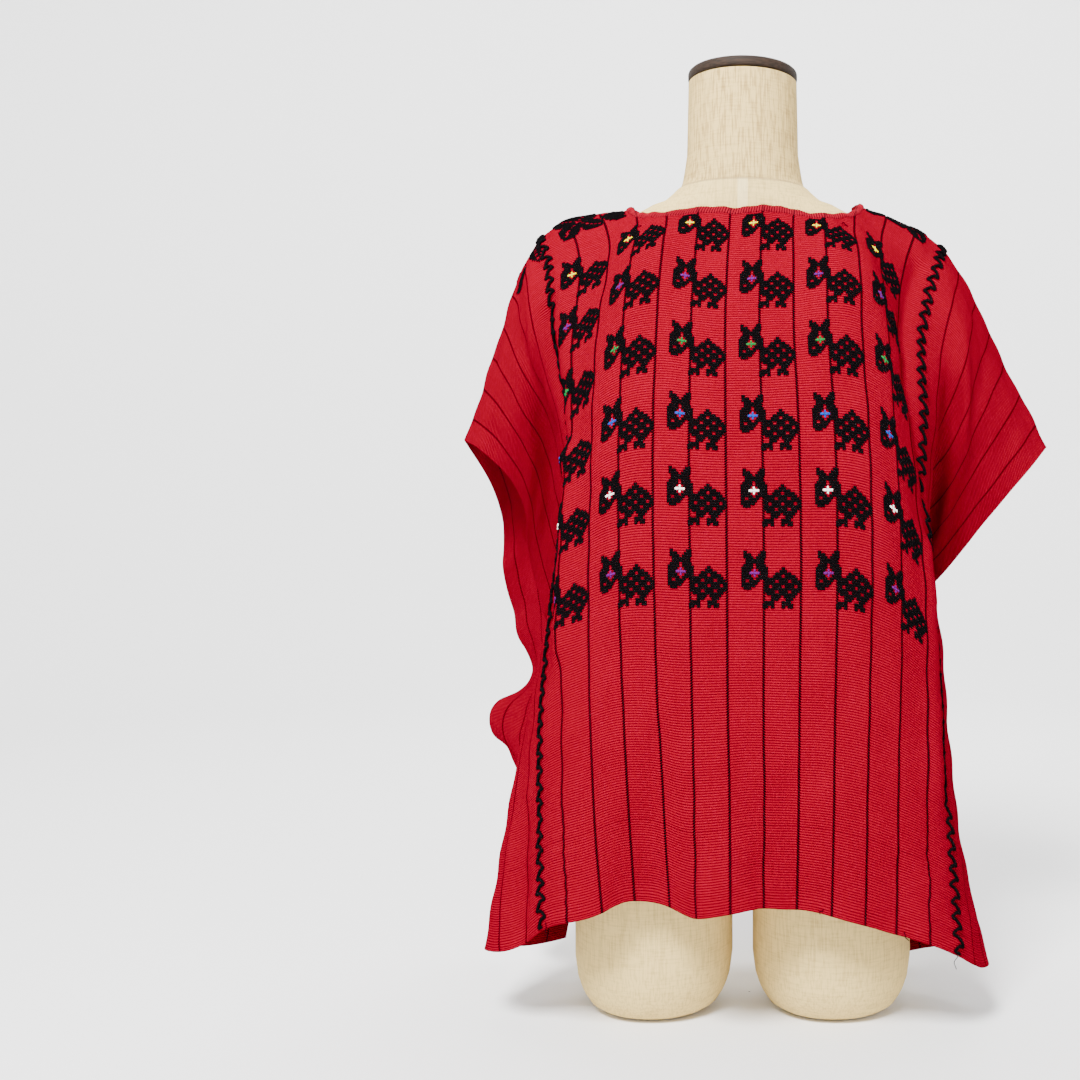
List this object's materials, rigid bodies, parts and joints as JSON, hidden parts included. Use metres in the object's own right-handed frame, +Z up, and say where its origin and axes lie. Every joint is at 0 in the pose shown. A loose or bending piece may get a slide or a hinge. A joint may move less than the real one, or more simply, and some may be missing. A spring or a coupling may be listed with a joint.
{
  "type": "huipil blouse on a limbless dress form",
  "caption": "Wide poncho-cut woven blouse with bound square neck and open sides, draped on a headless, armless linen dress form with short thigh stumps.",
  "frame": {"origin": "on the floor under the middle of the whole part's box, between the two thigh stumps", "axes": "+Z up, +X towards the wearer's left, -Y towards the wearer's front"},
  "size_m": [0.5946, 0.3468, 0.9255],
  "materials": {
    "form_linen": "natural beige linen, plain weave",
    "cap_wood": "dark stained, satin",
    "huipil_cotton": "crimson backstrap-woven cotton with weft ribs and thin black warp stripes",
    "binding_yarn": "crimson cotton yarn, overcast",
    "black_yarn": "black cotton yarn floats and seam stitches",
    "eye_yarn": "small coloured cotton floats, row by row yellow, purple, green, blue, white, purple"
  },
  "bodies": {
    "root": {"dress_form": "form_linen", "neck_cap": "cap_wood", "panel_center": "huipil_cotton", "panel_right": "huipil_cotton", "panel_left": "huipil_cotton", "neck_binding": "binding_yarn"}
  },
  "joints": []
}
